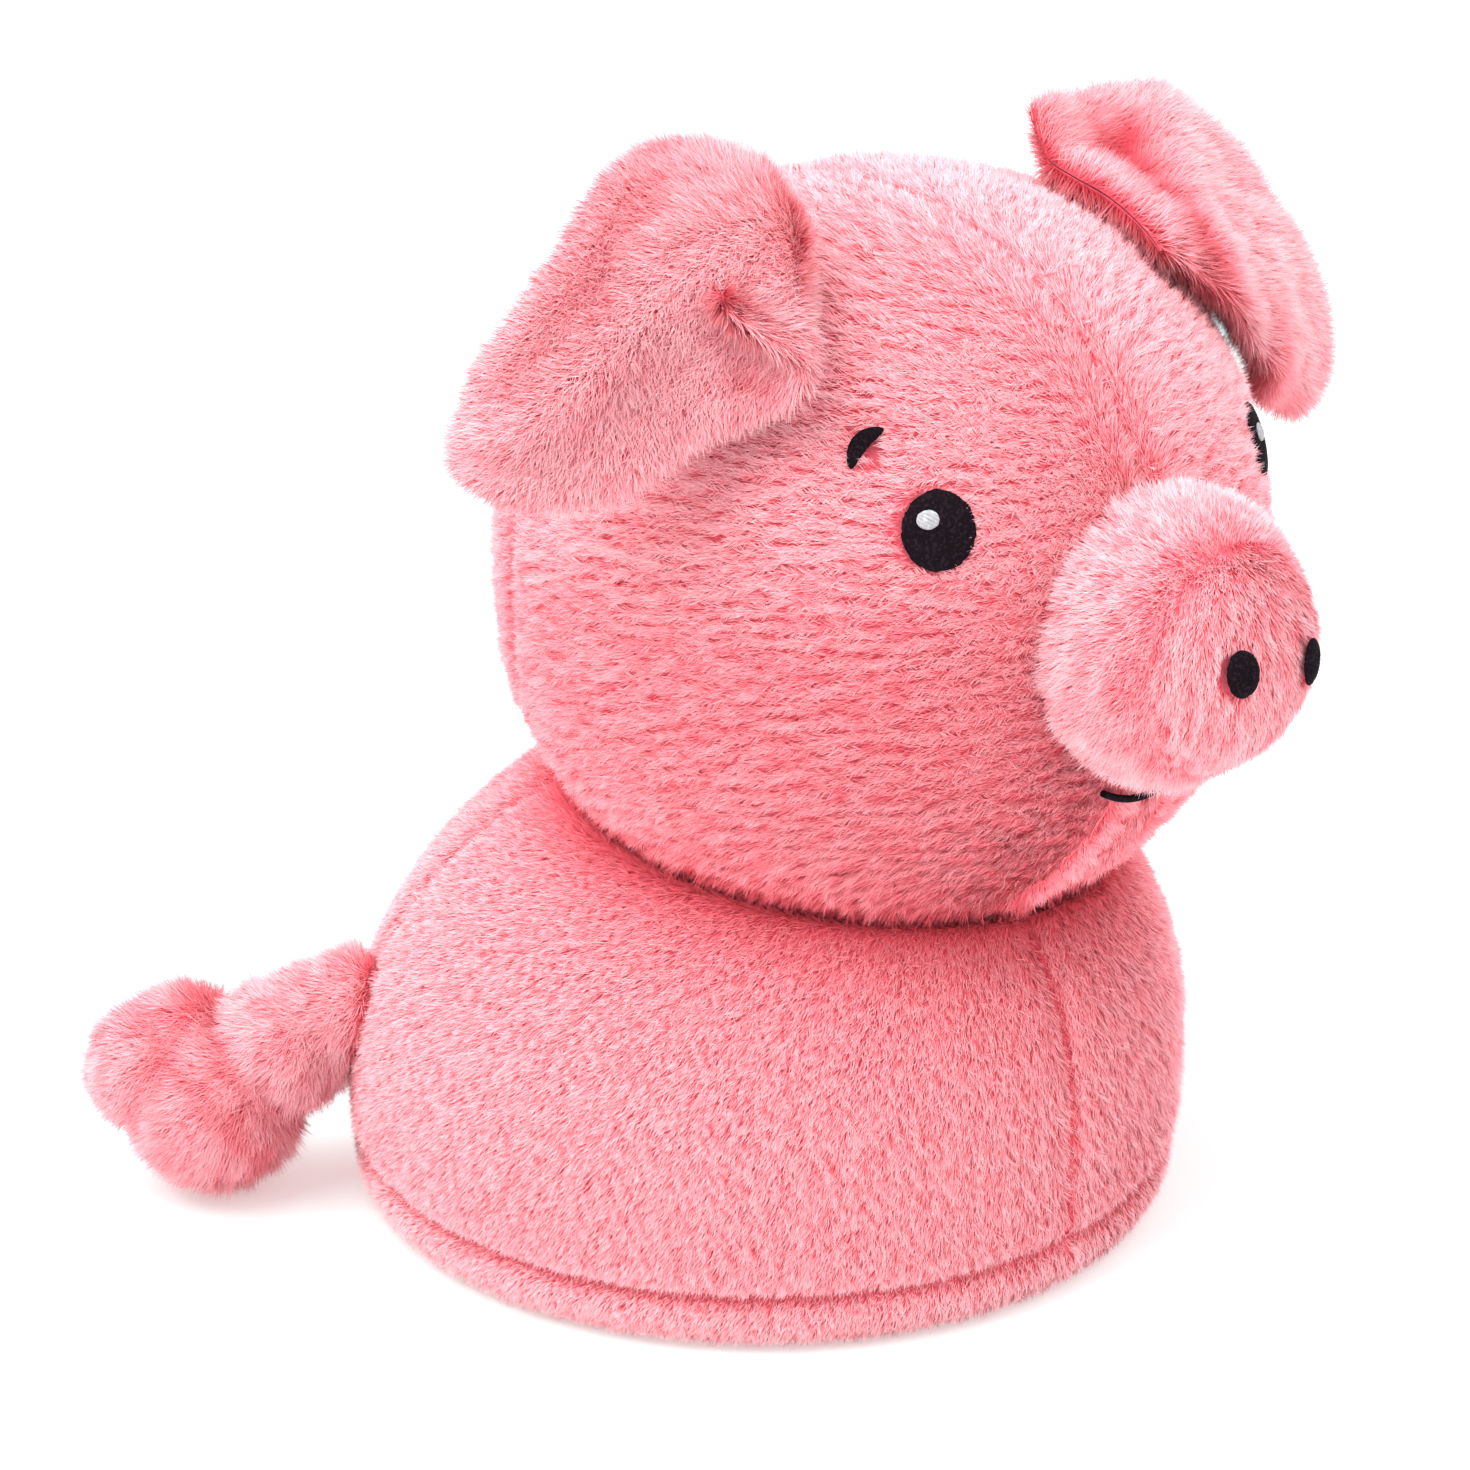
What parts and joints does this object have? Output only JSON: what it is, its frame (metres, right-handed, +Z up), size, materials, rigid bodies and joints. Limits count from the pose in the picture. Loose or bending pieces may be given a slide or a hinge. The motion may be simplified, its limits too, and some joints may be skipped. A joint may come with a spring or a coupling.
{
  "type": "plush pig",
  "caption": "Sitting plush pig with a round stuffed body, a turned ball of a head, folded ears, a domed snout and a curled tail, all on soft sewn joints.",
  "frame": {"origin": "middle of the flat base that the pig sits on", "axes": "+Z up, the chest faces -Y, the pig's own right is -X; the head rests turned 37 degrees towards the pig's right"},
  "size_m": [0.1004, 0.1374, 0.1256],
  "materials": {
    "plush": "short pile pink plush",
    "snout_plush": "short pile pink plush, brushed flat",
    "black_thread": "dense satin stitch embroidery",
    "white_thread": "satin stitch embroidery",
    "mouth_thread": "one line of stitching",
    "fibre": "loose polyester fibre",
    "pellets": "thin cloth bag of plastic pellets"
  },
  "bodies": {
    "body": {"chest_panel": "plush", "side_panel_right": "plush", "side_panel_left": "plush", "base_panel": "plush", "body_filling": "fibre", "pellet_bag": "pellets"},
    "neck": {"neck_seam_ring": "plush"},
    "head": {"head_panel_right": "plush", "head_panel_left": "plush", "head_back_panel": "plush", "head_filling": "fibre", "snout_wall": "plush", "snout_disc": "snout_plush", "snout_filling": "fibre", "mouth": "mouth_thread", "eye_right": "black_thread", "eye_left": "black_thread", "eye_highlight_right": "white_thread", "eye_highlight_left": "white_thread", "eyebrow_right": "black_thread", "eyebrow_left": "black_thread", "nostril_right": "black_thread", "nostril_left": "black_thread"},
    "ear_right": {"ear_right_outer": "plush", "ear_right_inner": "plush"},
    "ear_left": {"ear_left_outer": "plush", "ear_left_inner": "plush"},
    "tail": {"tail_cover": "plush", "tail_filling": "fibre"}
  },
  "joints": [
    {"name": "head_turn", "type": "hinge", "parent": "body", "child": "neck", "pos_m": [0, -0.0128, 0.0778], "axis": [0, 0, 1], "range_deg": [-15, 15], "stiffness_Nm_per_rad": 0.08},
    {"name": "head_nod", "type": "hinge", "parent": "neck", "child": "head", "pos_m": [0, -0.0128, 0.0778], "axis": [-0.7986, 0.6018, 0], "range_deg": [-10, 10], "stiffness_Nm_per_rad": 0.15},
    {"name": "ear_right_flap", "type": "hinge", "parent": "head", "child": "ear_right", "pos_m": [-0.02767, -0.01572, 0.11173], "axis": [0.8352, 0.3399, 0.4323], "range_deg": [-5, 35], "stiffness_Nm_per_rad": 0.02},
    {"name": "ear_left_flap", "type": "hinge", "parent": "head", "child": "ear_left", "pos_m": [0.00798, -0.03185, 0.11579], "axis": [-0.0965, -0.8965, -0.4323], "range_deg": [-5, 35], "stiffness_Nm_per_rad": 0.02},
    {"name": "tail_wag", "type": "hinge", "parent": "body", "child": "tail", "pos_m": [-0.01437, 0.05346, 0.0165], "axis": [0, 0, 1], "range_deg": [-12, 12], "stiffness_Nm_per_rad": 0.02}
  ]
}
